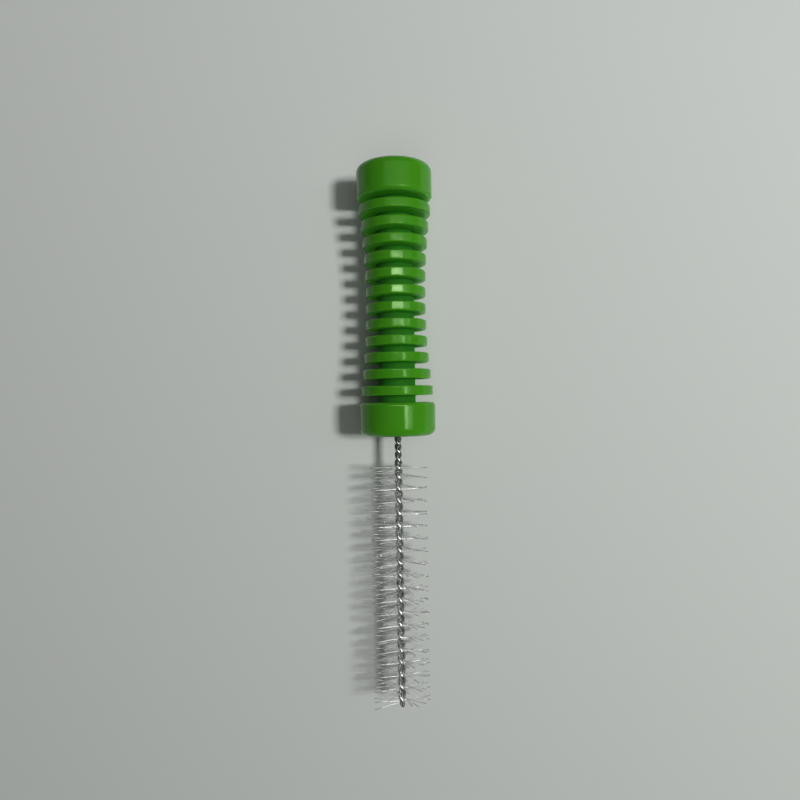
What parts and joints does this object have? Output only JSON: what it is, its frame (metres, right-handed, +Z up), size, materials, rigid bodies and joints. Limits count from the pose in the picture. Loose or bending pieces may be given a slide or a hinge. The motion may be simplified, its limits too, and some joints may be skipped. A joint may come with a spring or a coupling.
{
  "type": "twisted-wire cleaning brush",
  "caption": "Small hand brush: ribbed, waisted plastic handle on a twisted wire stem with sparse clear nylon filaments for cleaning narrow tubes.",
  "frame": {"origin": "on the surface that the brush lies on, under the middle of its whole length", "axes": "+Y along the brush from the fold of the wire to the handle's butt, +X to the right seen from above with +Y away, +Z up"},
  "size_m": [0.0116, 0.0828, 0.0116],
  "materials": {
    "handle_plastic": "glossy moulded polypropylene, saturated leaf green",
    "stem_wire": "bright drawn stainless wire, slightly dulled",
    "filament_nylon": "clear, colourless nylon monofilament"
  },
  "bodies": {
    "root": {"handle": "handle_plastic", "wire_stem": "stem_wire", "bristle_tuft_01": "filament_nylon", "bristle_tuft_02": "filament_nylon", "bristle_tuft_03": "filament_nylon", "bristle_tuft_04": "filament_nylon", "bristle_tuft_05": "filament_nylon", "bristle_tuft_06": "filament_nylon", "bristle_tuft_07": "filament_nylon", "bristle_tuft_08": "filament_nylon", "bristle_tuft_09": "filament_nylon", "bristle_tuft_10": "filament_nylon", "bristle_tuft_11": "filament_nylon", "bristle_tuft_12": "filament_nylon", "bristle_tuft_13": "filament_nylon", "bristle_tuft_14": "filament_nylon", "bristle_tuft_15": "filament_nylon", "bristle_tuft_16": "filament_nylon", "bristle_tuft_17": "filament_nylon", "bristle_tuft_18": "filament_nylon", "bristle_tuft_19": "filament_nylon"}
  },
  "joints": []
}
